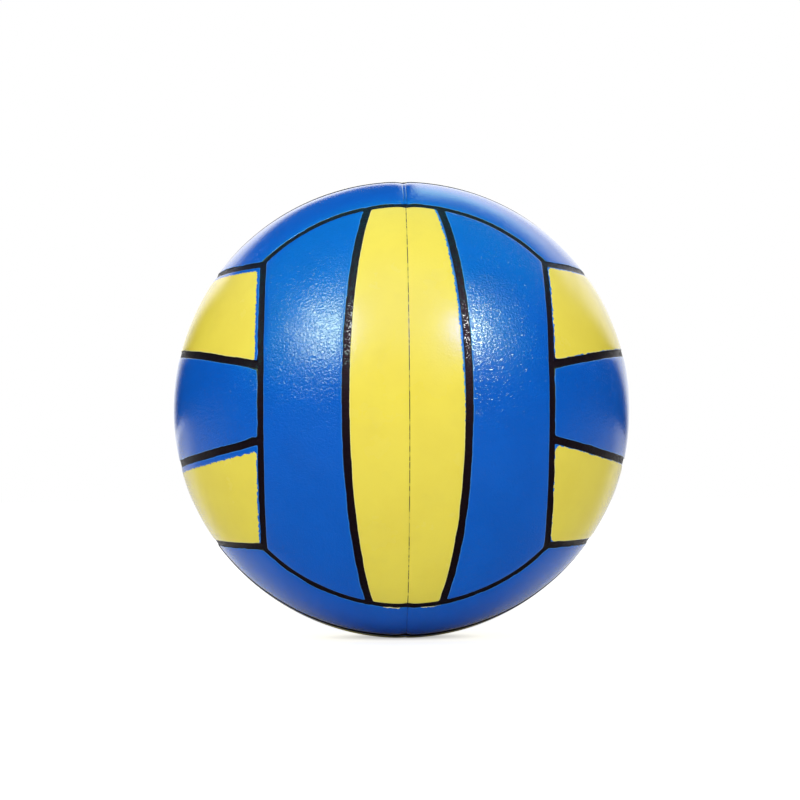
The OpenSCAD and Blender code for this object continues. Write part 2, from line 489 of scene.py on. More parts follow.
def column_planes(steps, marks):
    """The planes that cut a panel across, from end to end, and the way each one's middle lies."""
    last = edge_plane(END_EDGE, steps[-1])
    reach = END_EDGE[1] - steps[-1] / BALL_R
    marks = [mark for mark in marks if mark >= 0] or [0.0]
    near = math.asin(marks[-1] / BALL_R)
    count = round((reach - near) * BALL_R / EVEN_STEP)
    half = [(np.array([0, 1, 0, -mark], float), math.asin(mark / BALL_R)) for mark in marks]
    for k in range(1, count):
        angle = near + (reach - near) * k / count
        depth = BALL_R * math.cos(angle) + last[3]
        past = BALL_R * math.sin(angle) - marks[-1]
        share = depth / (depth + past)
        half.append(((1 - share) * last - share * half[len(marks) - 1][0], angle))
    half += [(edge_plane(END_EDGE, inset), END_EDGE[1] - inset / BALL_R) for inset in reversed(steps)]
    mirrored = [(plane * (1, -1, 1, 1), -angle) for plane, angle in half[:0:-1]]
    if marks[0] > 0:
        mirrored.append((half[0][0] * (1, -1, 1, 1), -half[0][1]))
    return mirrored + half


def meet(rows, columns):
    """The points where rows and columns of planes meet on the ball: rows by columns by 3."""
    rows = np.array(rows)[:, None, :]
    angles = np.array([angle for _, angle in columns])
    columns = np.array([plane for plane, _ in columns])[None, :, :]
    towards = np.stack([np.cos(angles), np.sin(angles), 0 * angles], axis=-1)[None]
    run = np.cross(rows[..., :3], columns[..., :3])
    square = (run**2).sum(-1, keepdims=True)
    base = -rows[..., 3:] * np.cross(columns[..., :3], run)
    base = base - columns[..., 3:] * np.cross(run, rows[..., :3])
    base /= square
    reach = np.sqrt(np.maximum(BALL_R**2 - (base**2).sum(-1, keepdims=True), 0) / square)
    sign = np.where((run * towards).sum(-1, keepdims=True) < 0, -1, 1)
    return base + sign * reach * run


def inset_from(edge, points):
    """How far in from an edge points on the ball lie, along its surface."""
    axis, angle, way = edge
    cosine = np.clip(points @ np.array(axis, float) / np.linalg.norm(points, axis=-1), -1, 1)
    return BALL_R * way * (np.arccos(cosine) - angle)


def inset_from_all(distances, radius):
    """The distance in from the nearest of several edges, with the corners between them rounded."""
    distances = np.stack(distances)
    least = distances.min(0)
    corner = np.sqrt((np.maximum(radius - distances, 0) ** 2).sum(0))
    return np.where(least < radius, radius - corner, least)


def ripple(points, pitch, seed):
    """A smooth irregular wave over the ball, about -1 to 1, with a given distance between crests."""
    draw = np.random.default_rng(seed)
    ways = draw.normal(size=(RIPPLE_WAVES, 3))
    ways /= np.linalg.norm(ways, axis=1, keepdims=True)
    starts = draw.uniform(0, 2 * math.pi, RIPPLE_WAVES)
    return np.sin(points @ ways.T * (2 * math.pi / pitch) + starts).sum(-1) / RIPPLE_HEIGHT


def wander(points):
    """Moves points a little along the ball, so that panel edges wander as hand-finished ones do."""
    shift = 0
    for pitch, weaker, seeds in WANDER_WAVES:
        waves = [ripple(points, pitch, seed) for seed in seeds]
        shift = shift + np.stack(waves, axis=-1) * HAND_WANDER / weaker
    outward = points / np.linalg.norm(points, axis=-1, keepdims=True)
    shift -= (shift * outward).sum(-1, keepdims=True) * outward
    moved = points + shift
    return moved * (np.linalg.norm(points, axis=-1) / np.linalg.norm(moved, axis=-1))[..., None]


def shoulder_drop(inset):
    """How far the panel's face falls away towards its edge: a gentle crown, then a round shoulder."""
    over = np.clip(SHOULDER_R - inset, 0, SHOULDER_R)
    rounding = SHOULDER_R - np.sqrt(SHOULDER_R**2 - over**2)
    crown = CROWN_H * np.exp(-np.maximum(inset, 0) / CROWN_LEN)
    past = np.maximum(-inset, 0) * WALL_SLOPE
    return np.minimum(rounding + crown + past, CHANNEL_DEPTH)


def line_drop(across, inset, from_seam, double):
    """How deep the mould line is, at distances across it, in from the panel's edge and from a seam."""
    nick = np.exp(-np.maximum(inset, 0) / NICK_LEN)
    dip = DIP_DEPTH * np.exp(-np.maximum(from_seam, 0) / DIP_LEN - (across / (DIP_W / 2)) ** 2)
    across = across - LINE_X
    groove = 0 * across
    for place_x in ((-DOUBLE_GAP / 2, DOUBLE_GAP / 2) if double else (0.0,)):
        groove = groove + LINE_DEPTH * np.maximum(1 - np.abs(across - place_x) / (LINE_W / 2), 0)
    valley_w = LINE_VALLEY_W + NICK_W * nick
    valley = (LINE_VALLEY_DEPTH + NICK_DEPTH * nick) * np.exp(-((across / (valley_w / 2)) ** 2))
    return groove * (1 - DOUBLE_SHALLOWER * double) + valley + dip


def panel_grid(face, strip, steps):
    """A panel's points on the ball as a grid, on the +X face."""
    marks, posts = [], []
    if face in ("front", "back") and strip == 1:
        marks = [-mark for mark in reversed(LINE_STEPS[1:])] + LINE_STEPS
    if face in ("top", "bottom"):
        posts = LINE_STEPS
    if (face, strip) == ("right", 1):
        cells = [DISH_SQUARE * (2 * k / DISH_CELLS - 1) for k in range(DISH_CELLS + 1)]
        marks, posts = cells, cells
    return meet(row_planes(strip, steps, marks), column_planes(steps, posts))


def ring_round(rows, columns):
    """The grid's outer points in order, as (row, column) pairs."""
    around = [(0, c) for c in range(columns - 1)]
    around += [(r, columns - 1) for r in range(rows - 1)]
    around += [(rows - 1, c) for c in range(columns - 1, 0, -1)]
    around += [(r, 0) for r in range(rows - 1, 0, -1)]
    return around


def dish_rings(grid_points, square_ring, rings):
    """Rings of points from the square round the valve in to its hole."""
    made = []
    angles = np.arctan2(grid_points[square_ring][:, 2], grid_points[square_ring][:, 1])
    for radius in rings:
        along = np.sqrt(BALL_R**2 - radius**2) + 0 * angles
        made.append(np.stack([along, radius * np.cos(angles), radius * np.sin(angles)], -1))
    return made


def dish_drop(from_axis):
    """How far the dish round the valve lies below the ball, at a distance from the valve's axis."""
    to_floor = BALL_R - valve_face
    rim_drop = BALL_R - math.sqrt(BALL_R**2 - DISH_R**2)
    share = np.clip((DISH_R - from_axis) / (DISH_R - NECK_R), 0, 1)
    share = share * share * (1 + DISH_HOLLOW - DISH_HOLLOW * share)
    to_hole = (HOLE_R + HOLE_ROUNDING_W - from_axis) / HOLE_ROUNDING_W
    rounding = HOLE_ROUNDING * np.clip(to_hole, 0, 1) ** 2
    surface = BALL_R - np.sqrt(BALL_R**2 - from_axis**2)
    wanted = rim_drop + (to_floor - rim_drop) * share
    return np.maximum(wanted - surface, 0) * (from_axis < DISH_R) + rounding


def panel_shell(face, strip):
    """A panel's points on its face and on its underside, the face's cells, and its open outlines."""
    starts = (SHOULDER_STEPS[0], -WALL_FLARE)
    grids = [panel_grid(face, strip, [start] + SHOULDER_STEPS[1:]) for start in starts]
    rows, columns = grids[0].shape[:2]
    index = np.arange(rows * columns).reshape(rows, columns)
    quads = np.stack([index[:-1, :-1], index[:-1, 1:], index[1:, 1:], index[1:, :-1]], -1)
    keep = np.ones((rows - 1, columns - 1), bool)
    flat = [grid.reshape(-1, 3) for grid in grids]
    rings = []
    if (face, strip) == ("right", 1):
        just_past = DISH_SQUARE * 1.001
        row_at = [r for r in range(rows) if abs(grids[0][r, columns // 2, 2]) < just_past]
        col_at = [c for c in range(columns) if abs(grids[0][rows // 2, c, 1]) < just_past]
        r0, r1, c0, c1 = row_at[0], row_at[-1], col_at[0], col_at[-1]
        keep[r0:r1, c0:c1] = False
        square = [index[r0 + r, c0 + c] for r, c in ring_round(r1 - r0 + 1, c1 - c0 + 1)]
        for k, points in enumerate(flat):
            flat[k] = np.concatenate([points] + dish_rings(points, square, DISH_RINGS))
        rings = [square]
        for k in range(len(DISH_RINGS)):
            start = rows * columns + k * len(square)
            rings.append(list(range(start, start + len(square))))
    faces = [tuple(quad) for quad in quads[keep].reshape(-1, 4)]
    for ring, inner in zip(rings, rings[1:]):
        count = len(ring)
        faces += [(ring[k], ring[(k + 1) % count], inner[(k + 1) % count], inner[k]) for k in range(count)]
    outline = [index[r, c] for r, c in ring_round(rows, columns)]
    loops = [outline] + ([rings[-1][::-1]] if rings else [])
    return flat, faces, loops


def panel_mesh(name, face, strip, finish, paint, prints):
    """The mesh of one panel, with its distances for the channel paint and the yellow print."""
    (outer, under), faces, loops = panel_shell(face, strip)
    low, high = strip_edges(strip)
    inset = inset_from_all([inset_from(edge, outer) for edge in (low, high, END_EDGE)], CORNER_R)
    turn = turn_to(face).T
    outer_world, under_world = outer @ turn, under @ turn
    drop = shoulder_drop(inset)
    if face in ("top", "bottom"):
        seams = [edge for edge in (low, high) if edge[0][0] != 0]
        from_seam = np.min([inset_from(edge, outer) for edge in seams], axis=0)
        drop = drop + line_drop(outer_world[:, 0], inset, from_seam, face == "top" and strip != 1)
    if face in ("front", "back") and strip == 1:
        drop = drop + line_drop(outer_world[:, 0], inset, math.inf, False)
    drop = np.minimum(drop, DEEPEST)
    drop += UNEVEN * (1 + ripple(outer_world, UNEVEN_PITCH, UNEVEN_SEED)) / 2
    if (face, strip) == ("right", 1):
        from_axis = np.hypot(outer[:, 1], outer[:, 2])
        drop = np.where(from_axis < DISH_R * DISH_BLEND, dish_drop(from_axis), drop)
    outer_world = wander(outer_world)
    under_world = wander(under_world)
    outer_world *= ((BALL_R - drop) / np.linalg.norm(outer_world, axis=1))[:, None]
    under_world *= ((BALL_R - PANEL_T) / np.linalg.norm(under_world, axis=1))[:, None]
    count = len(outer)
    used = np.unique(np.array([corner for quad in faces for corner in quad]))
    again = -np.ones(2 * count, int)
    again[used] = np.arange(len(used))
    again[used + count] = np.arange(len(used)) + len(used)
    places = np.concatenate([outer_world[used], under_world[used]])
    solid = [tuple(again[list(quad)]) for quad in faces]
    solid += [tuple(again[[corner + count for corner in reversed(quad)]]) for quad in faces]
    walls = set()
    for loop in loops:
        for k, corner in enumerate(loop):
            after = loop[(k + 1) % len(loop)]
            solid.append(tuple(again[[after, corner, corner + count, after + count]]))
            walls.add(tuple(sorted(again[[corner + count, after + count]])))
    mesh = bpy.data.meshes.new(name)
    mesh.from_pydata(places.tolist(), [], solid)
    mesh.shade_smooth()
    sharp = mesh.attributes.new("sharp_edge", "BOOLEAN", "EDGE")
    sharp.data.foreach_set("value", [tuple(sorted(edge.vertices)) in walls for edge in mesh.edges])
    thin = THIN_SHARE.get(f"{face}_{strip}", THIN_ELSEWHERE) + 0 * inset
    printed_in = prints(outer, outer_world, inset)
    for title, values in (("paint", paint(outer_world, inset)), ("print", printed_in), ("thin", thin)):
        attribute = mesh.attributes.new(title, "FLOAT", "POINT")
        attribute.data.foreach_set("value", np.tile(values[used], 2).astype(np.float32))
    mesh.materials.append(finish)
    return mesh


# The channels are painted black by hand along their floors and walls. The paint wanders up over
# the panels' shoulders here and there, and is smeared where the brush was lifted at a corner.

PAINT_REACH = 0.00016
PAINT_WANDER = 0.00010
PAINT_WAVES = ((1.0, 0.011, 41), (0.7, 0.004, 42))
# bottom_centre_panel's wider black along its front edge, low down near the floor just in front of where the
# ball stands, is painted shade.
PAINT_EXTRA = {"top_centre_panel": 0.0018, "bottom_centre_panel": 0.0014}
PAINT_SMEARS = [
    ((-61.6, -83.7, 14.9), 3.0, 0.5),
    ((-64.7, -81.5, -13.9), 2.5, 0.6),
    ((62.6, -82.8, 15.8), 3.0, 0.6),
    ((-63.0, -58.9, -59.9), 2.2, 0.8),
    ((60.2, -61.5, -60.1), 2.0, 0.7),
    ((64.6, -56.6, -60.4), 2.0, 0.6),
    ((0.4, -62.0, -84.9), 0.8, 0.5),
    ((0.9, -62.0, 84.9), 0.9, 0.4),
    ((1.4, -59.9, -86.2), 1.0, 0.6),
    ((-59.0, -60.3, 62.8), 2.4, 0.7),
    ((59.5, -60.3, 62.0), 2.0, 0.4),
]


def painted(name):
    """A function that says how far the channel paint reaches past a point, in millimetres."""

    def reach_past(points, inset):
        wavering = sum(share * ripple(points, pitch, seed) for share, pitch, seed in PAINT_WAVES)
        reach = PAINT_REACH + PAINT_EXTRA.get(name, 0.0) + PAINT_WANDER * wavering
        for place_mm, radius_mm, extra_mm in PAINT_SMEARS:
            away = np.linalg.norm(points * 1000 - place_mm, axis=1) / radius_mm
            reach = reach + extra_mm / 1000 * np.exp(-(away**2))
        return (reach - inset) * 1000

    return reach_past


# The yellow is a coat printed over the blue rubber of eight panels. Its stencil never lay quite
# true, so a rim of blue shows along some edges, and its edge is ragged.

PRINT_CORNER = 0.0016
PRINT_CORNERS = {"right_bottom_panel": 0.0034}
RIMS = {
    "front_centre_panel": (-0.4, 1.15, -0.3, -0.3),
    "left_top_panel": (-0.3, 2.0, 0.5, 1.5),
    "left_bottom_panel": (-0.3, 2.5, 0.5, 0.75),
    "right_top_panel": (0.25, 0.75, 0.5, 0.15),
    "right_bottom_panel": (0.1, 0.3, 0.12, 0.35),
    "back_centre_panel": (0.5, -0.3, -0.3, 0.6),
    "top_centre_panel": (-0.2, 0.7, 0.6, -0.3),
    # bottom_centre_panel's 3 mm blue rim at its front edge, low down near the floor in front of where the
    # ball stands, is painted shade: it keeps the yellow off a strip that lies in deep shade.
    "bottom_centre_panel": (3.0, -0.3, -0.2, 0.8),
}
RIM_ENDS = {"front_centre_panel": (-24.0, 22.0)}
OVERSPILL = [((-6.0, -57.9, -87.0), 4.8, 0.54), ((10.5, -57.5, -87.0), 5.8, 0.60)]
UNPRINTED = -1.0
FAR_AWAY = 1.0


def printed(name, strip):
    """A function that says how far inside the yellow print a point lies, in millimetres."""
    low, high = strip_edges(strip)

    def inside(points, world_points, inset):
        if name not in RIMS:
            spill = UNPRINTED + 0 * inset
            for place_mm, radius_mm, reach_mm in OVERSPILL:
                away = np.linalg.norm(world_points * 1000 - place_mm, axis=1) / radius_mm
                spill = np.maximum(spill, (reach_mm - UNPRINTED) * np.exp(-(away**8)) + UNPRINTED)
            return spill - inset * 1000
        rims = [rim / 1000 for rim in RIMS[name]]
        if name in RIM_ENDS:
            start, full = RIM_ENDS[name]
            share = np.clip((world_points[:, 2] * 1000 - start) / (full - start), 0, 1)
            rims[1] = rims[0] + (rims[1] - rims[0]) * share
        ends = inset_from(END_EDGE, points)
        far_end = np.where(points[:, 1] > 0, ends, FAR_AWAY)
        near_end = np.where(points[:, 1] < 0, ends, FAR_AWAY)
        distances = [inset_from(low, points), inset_from(high, points), near_end, far_end]
        trimmed = [distance - rim for distance, rim in zip(distances, rims)]
        return inset_from_all(trimmed, PRINT_CORNERS.get(name, PRINT_CORNER)) * 1000

    return inside


# Blue rubber is the body of every panel. It was moulded against a finely grained steel face, and
# is satin to the eye. The same rubber lies under the yellow coat.

BLUE = (0.0010, 0.116, 0.61, 1)
BLUE_DEEP = (0.0008, 0.109, 0.58, 1)
YELLOW = (0.91, 0.77, 0.086, 1)
YELLOW_DEEP = (0.89, 0.745, 0.082, 1)
CHANNEL_BLACK = (0.0060, 0.0018, 0.0040, 1)
MOULD_LINE_YELLOW_SHADE = (0.07, 0.065, 0.030, 1)
MOULD_LINE_SHADE_W = 0.00052
LONG_BREAKS = (0.011, (0.38, 0.5, 0.5, 1.0))
SHORT_BREAKS = (0.0022, (0.42, 0.5, 0.45, 1.0))
CLOUD_PITCH = 0.018
CLOUD_STEP = (0.35, 0.65)
PRINT_EDGE = {"Wobble": 0.50, "Pitch": 0.0014}
PAINT_EDGE = {"Wobble": 0.05, "Pitch": 0.0012}
WOBBLE_GAIN = 4.0
EDGE_SOFTNESS = 0.035
SHOULDER_HIGHLIGHT_SHARE = 0.6
SHOULDER_HIGHLIGHT_STEP = (-0.42, -0.22)
BLUE_SHOULDER_HIGHLIGHT = (0.045, 0.26, 0.72, 1)
YELLOW_SHOULDER_HIGHLIGHT = (0.92, 0.88, 0.35, 1)
THIN_COAT = (0.16, 0.50, 0.62, 1)
THIN_REACH = (-0.9, -0.1)
DASH_PITCH = 0.0016
DASH_STEP = (0.42, 0.58, 0.15, 0.8)
SPILL_PAINTED_GLINT = (1.0, 0.96, 0.62, 1)
SPILL_GLINT_SHARE = 0.9
YELLOW_PAINTED_SHADE = (0.60, 0.50, 0.055, 1)
YELLOW_PAINTED_SHADE_STEP = (0.72, 0.97, 0.0, 0.6)
MOULD_LINE_BLUE_SHADE = (0.0, 0.05, 0.22, 1)
MOULD_LINE_BLUE_SHADE_SHARE = 0.7
SMUDGE = (0.55, 0.47, 0.11, 1)
SMUDGES = {"Amount": 0.07, "Pitch": 0.012}
RUBBED = {"Amount": 1.0, "Pitch": 0.03}
RUBBED_ROUGHER = 0.06
MARKS_STEP = (0.5, 0.78)
SHEEN_STEP = (0.40, 0.78, 1.0, 0.22)
GRAIN_PITCH = 0.0011
GRAIN_DEPTH = {"blue cover": 0.000077, "yellow cover": 0.000015}
GRAIN_BEND = 0.0009
GRAIN_FINER = 1.7
GRAIN_FINE_SHARE = 1.2
CREASE_WIDER = 0.8
CREASE_STEP = (0.0, 0.12, -0.5, 0.0)
COAT_STEP = 0.0001
PAINT_ROUGHER = 0.35
ROUGHNESS = {"blue cover": 0.15, "yellow cover": 0.27}
GLOSS = {"blue cover": 0.5, "yellow cover": 0.29}
GLOSS_TINT = {"blue cover": (0.72, 0.90, 0.46, 1), "yellow cover": (0.05, 0.14, 0.78, 1)}


def moulded_grain():
    """The fine grain that the mould's face leaves: small flat cells with soft creases between."""
    group, given, result = new_group("moulded grain", {"Pitch": 0.0013}, ["Height"])
    where = add(group, "TexCoord").outputs["Object"]
    scale = calc(group, "DIVIDE", 1.0, given.outputs["Pitch"])
    bend = add(group, "TexNoise", {"Vector": where, "Scale": scale, "Detail": 2.0}).outputs["Color"]
    bend = add(group, "VectorMath", {0: bend, "Scale": GRAIN_BEND}, operation="SCALE").outputs["Vector"]
    bent = add(group, "VectorMath", {0: where, 1: bend}, operation="ADD").outputs["Vector"]
    packing = {"Vector": bent, "Scale": scale, "Smoothness": 0.3, "Randomness": 1.0}
    cells = add(group, "TexVoronoi", packing, feature="SMOOTH_F1").outputs["Distance"]
    fine = calc(group, "MULTIPLY", scale, GRAIN_FINER)
    soft = add(group, "TexNoise", {"Vector": bent, "Scale": fine, "Detail": 1.0}).outputs["Fac"]
    share = calc(group, "MULTIPLY", soft, GRAIN_FINE_SHARE)
    total = calc(group, "ADD", cells, share)
    wide = calc(group, "MULTIPLY", scale, CREASE_WIDER)
    folds = {"Vector": bent, "Scale": wide, "Detail": 1.0, "Distortion": 0.6}
    folded = add(group, "TexNoise", folds).outputs["Fac"]
    folded = calc(group, "SUBTRACT", folded, 0.5)
    folded = calc(group, "ABSOLUTE", folded)
    crease = step(group, folded, *CREASE_STEP)
    total = calc(group, "ADD", total, crease)
    group.links.new(total, result.inputs["Height"])
    return group


def ragged_edge():
    """The edge of a coat of paint: a mask from how far inside it a point lies, in millimetres."""
    group, given, result = new_group("ragged edge", {"Inside": 0.0, "Wobble": 0.1, "Pitch": 0.001}, ["Mask"])
    where = add(group, "TexCoord").outputs["Object"]
    scale = calc(group, "DIVIDE", 1.0, given.outputs["Pitch"])
    wave = add(group, "TexNoise", {"Vector": where, "Scale": scale, "Detail": 3.0}).outputs["Fac"]
    centred = calc(group, "SUBTRACT", wave, 0.5)
    shift = calc(group, "MULTIPLY", centred, given.outputs["Wobble"])
    shift = calc(group, "MULTIPLY", shift, WOBBLE_GAIN)
    level = calc(group, "ADD", given.outputs["Inside"], shift)
    group.links.new(step(group, level, -EDGE_SOFTNESS, EDGE_SOFTNESS), result.inputs["Mask"])
    return group


def handling_marks():
    """Faint smudges and scuffs from handling, as a mask."""
    group, given, result = new_group("handling marks", {"Amount": 0.3, "Pitch": 0.02}, ["Mask"])
    where = add(group, "TexCoord").outputs["Object"]
    scale = calc(group, "DIVIDE", 1.0, given.outputs["Pitch"])
    clouds = {"Vector": where, "Scale": scale, "Detail": 5.0, "Roughness": 0.6}
    mask = step(group, add(group, "TexNoise", clouds).outputs["Fac"], *MARKS_STEP)
    scaled = calc(group, "MULTIPLY", mask, given.outputs["Amount"])
    group.links.new(scaled, result.inputs["Mask"])
    return group


MOULDED_GRAIN = moulded_grain()
RAGGED_EDGE = ragged_edge()
HANDLING_MARKS = handling_marks()


def scaled_sum(tree, first, by, second):
    """One value times a number, plus another value."""
    return calc(tree, "MULTIPLY_ADD", first, by, second)


def product(tree, *values):
    """Several values multiplied together."""
    made = values[0]
    for value in values[1:]:
        made = calc(tree, "MULTIPLY", made, value)
    return made


def attribute(tree, name):
    """A value that a panel's mesh holds for each point."""
    return add(tree, "Attribute", attribute_name=name).outputs["Fac"]


def mould_line_shade(tree, double):
    """Painted shade in the groove of the mould line, in broken dashes. On the upper blue panels the line is
    double.
    """
    where = add(tree, "TexCoord").outputs["Object"]
    parts = add(tree, "SeparateXYZ", {"Vector": where}).outputs
    aside = step(tree, parts["Z"], -0.001, 0.001, 0.0, DOUBLE_GAP / 2 if double else 0.0)
    across = calc(tree, "SUBTRACT", parts["X"], LINE_X)
    across = calc(tree, "ABSOLUTE", across)
    across = calc(tree, "SUBTRACT", across, aside)
    across = calc(tree, "ABSOLUTE", across)
    near = step(tree, across, MOULD_LINE_SHADE_W / 2, MOULD_LINE_SHADE_W / 5)
    breaks = [step(tree, noise(tree, pitch), *levels) for pitch, levels in (LONG_BREAKS, SHORT_BREAKS)]
    return product(tree, near, *breaks)


def cover_finish(name, yellow):
    """Blue moulded rubber with the channel paint at its edges, under a coat of yellow or bare, with painted
    highlight and shade.
    """
    finish, tree, shader = new_finish(name, Specular_IOR_Level=GLOSS[name], Specular_Tint=GLOSS_TINT[name])
    clouds = step(tree, noise(tree, CLOUD_PITCH, 4.0), *CLOUD_STEP)
    rubber = blend(tree, clouds, BLUE_DEEP, BLUE)
    inside_print = attribute(tree, "print")
    coat = place(tree, RAGGED_EDGE, Inside=inside_print, **PRINT_EDGE).outputs["Mask"]
    coat_colour = blend(tree, clouds, YELLOW_DEEP, YELLOW)
    facing = add(tree, "LayerWeight").outputs["Facing"]
    if yellow:
        # The yellow turns a darker olive where the surface is seen edge-on, towards the ball's outline:
        # painted shade.
        coat_colour = blend(tree, step(tree, facing, *YELLOW_PAINTED_SHADE_STEP), coat_colour, YELLOW_PAINTED_SHADE)
        smudges = place(tree, HANDLING_MARKS, **SMUDGES).outputs["Mask"]
        coat_colour = blend(tree, smudges, coat_colour, SMUDGE)
        # A dark olive line along the mould line on the yellow is painted shade in its groove.
        coat_colour = blend(tree, mould_line_shade(tree, False), coat_colour, MOULD_LINE_YELLOW_SHADE)
        dashes = step(tree, noise(tree, DASH_PITCH), *DASH_STEP)
        thin = product(tree, step(tree, inside_print, *THIN_REACH), attribute(tree, "thin"), dashes)
        rubber = blend(tree, thin, rubber, THIN_COAT)
    else:
        # Yellow that spilled past the stencil onto the blue is real, but it is paled almost to white as a
        # painted glint on the shoulder it lies on.
        coat_colour = blend(tree, SPILL_GLINT_SHARE, coat_colour, SPILL_PAINTED_GLINT)
        # Dark blue lines along the double mould line on the blue are painted shade in its grooves.
        line = product(tree, mould_line_shade(tree, True), MOULD_LINE_BLUE_SHADE_SHARE)
        rubber = blend(tree, line, rubber, MOULD_LINE_BLUE_SHADE)
    paint = attribute(tree, "paint")
    # Lighter blue and yellow in a thin band along the channel paint's edge are a painted highlight on the
    # panels' rounded shoulders.
    edge = product(tree, step(tree, paint, *SHOULDER_HIGHLIGHT_STEP), SHOULDER_HIGHLIGHT_SHARE)
    rubber = blend(tree, edge, rubber, BLUE_SHOULDER_HIGHLIGHT)
    coat_colour = blend(tree, edge, coat_colour, YELLOW_SHOULDER_HIGHLIGHT)
    colour = blend(tree, coat, rubber, coat_colour)
    black = place(tree, RAGGED_EDGE, Inside=paint, **PAINT_EDGE).outputs["Mask"]
    colour = blend(tree, black, colour, CHANNEL_BLACK)
    tree.links.new(colour, shader.inputs["Base Color"])
    rubbed = place(tree, HANDLING_MARKS, **RUBBED).outputs["Mask"]
    sheen = step(tree, facing, *SHEEN_STEP)
    even = ROUGHNESS[name]
    roughness = product(tree, step(tree, rubbed, 0.0, 1.0, even, even + RUBBED_ROUGHER), sheen)
    tree.links.new(scaled_sum(tree, black, PAINT_ROUGHER, roughness), shader.inputs["Roughness"])
    grain = place(tree, MOULDED_GRAIN, Pitch=GRAIN_PITCH).outputs["Height"]
    relief = add(tree, "Bump", {"Height": grain, "Distance": GRAIN_DEPTH[name], "Strength": sheen})
    raised = {"Height": coat, "Distance": COAT_STEP, "Normal": relief.outputs["Normal"]}
    tree.links.new(add(tree, "Bump", raised).outputs["Normal"], shader.inputs["Normal"])
    return finish


FINISHES = {"blue": cover_finish("blue cover", False), "yellow": cover_finish("yellow cover", True)}

for face, (_, _, strips, colours) in FACES.items():
    for strip, (part, colour) in enumerate(zip(strips, colours)):
        node = f"{face}_{part}_panel"
        edge_paint, print_coat = painted(node), printed(node, strip)
        mesh = panel_mesh(node + "_cover", face, strip, FINISHES[colour], edge_paint, print_coat)
        panel = bpy.data.objects.new(node + "_cover", mesh)
        bpy.context.scene.collection.objects.link(panel)
        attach(panel, "root")
        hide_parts(node)


# The channels' floor is one net of black rubber that runs round the whole ball between the panels.
# The mould pressed it against a grained face, and it is painted over by hand with the walls.

LINING_R = BALL_R - CHANNEL_DEPTH
LINING_CELLS = 8
MENISCUS = 0.00008
MENISCUS_LEN = 0.00022
FLASH_X = 0.0008
FLASH_W = 0.00022
FLASH_H = 0.00016
SAME_PLACE = 0.000002
NET_SHARP_ANGLE = math.radians(50)
CHANNEL_WORN = (0.0105, 0.0045, 0.0080, 1)
CHANNEL_GLINT = (1.0, 0.5, 0.7, 1)
CHANNEL_WEAR = {"Amount": 0.6, "Pitch": 0.006}
NET_GRAIN_PITCH = 0.0010
NET_GRAIN_DEPTH = 0.00007
SPECK_PITCH = 0.0008
SPECK_STEP = (0.54, 0.62, 0.0, 0.55)
SPECK_DEPTH = 0.0001


def seam_ribbons(half, across):
    """The two channels along a face's strips, as grids of points with distances from the walls."""
    columns = column_planes(SHOULDER_STEPS, LINE_STEPS)
    for side in (-1, 1):
        points = meet([edge_plane(seam_edge(side, shift, 1), 0.0) for shift in across], columns)
        yield points, np.repeat((half - np.abs(across))[:, None], points.shape[1], axis=1)


def end_ribbons(half, across):
    """The two channels at the ends of a face's strips, which share the seam channels' last points."""
    inner_angle, outer_angle = END_REACH - HALF_CHANNEL, END_REACH + HALF_CHANNEL
    ring = BALL_R * math.sin(inner_angle)
    lean_height = math.sin(SEAM_LEAN) * BALL_R * math.cos(inner_angle)
    mouths = (SEAM_OFFSET + across + lean_height) / math.cos(SEAM_LEAN)
    mouths = np.arcsin(mouths / ring)
    inner_end = math.asin(math.cos(outer_angle) / math.sin(inner_angle))
    outer_end = math.acos(math.cos(inner_angle) / math.sin(outer_angle))
    near = np.array(LINE_STEPS) / ring
    spans = [(near[-1], mouths[0]), (mouths[-1], inner_end)]
    counts = [1 + round(ring * (stop - start) / EVEN_STEP) for start, stop in spans]
    filled = [np.linspace(*span, count) for span, count in zip(spans, counts)]
    quarter = np.concatenate([near, filled[0][1:-1], mouths, filled[1][1:]])
    stations = np.concatenate([-quarter[:0:-1], quarter])
    share = (across + half)[:, None] / (2 * half)
    angles = inner_angle + (outer_angle - inner_angle) * share
    turns = stations[None, :] * (1 + (outer_end / inner_end - 1) * share)
    height = ring * np.abs(np.sin(stations)) * math.cos(SEAM_LEAN) - lean_height
    into_mouth = half - np.abs(height - SEAM_OFFSET)
    inner_wall = np.hypot(BALL_R * (angles - inner_angle), np.maximum(into_mouth, 0)[None, :])
    walls = np.minimum(inner_wall, BALL_R * (outer_angle - angles))
    for end in (-1, 1):
        outward, along = np.cos(angles) + 0 * turns, end * np.sin(angles) * np.cos(turns)
        yield BALL_R * np.stack([outward, along, np.sin(angles) * np.sin(turns)], -1), walls


def used_edges(faces):
    """Every edge of the faces, in the direction in which a face runs along it."""
    return {
        (corner, corners[(k + 1) % len(corners)]) for corners in faces for k, corner in enumerate(corners)
    }


def open_loops(faces):
    """The loops of edges that only one face uses, each as a list of points in the faces' order."""
    edges = used_edges(faces)
    onward = {a: b for a, b in edges if (b, a) not in edges}
    loops = []
    while onward:
        start, corner = onward.popitem()
        loop = [start]
        while corner != start:
            loop.append(corner)
            corner = onward.pop(corner)
        loops.append(loop)
    return loops


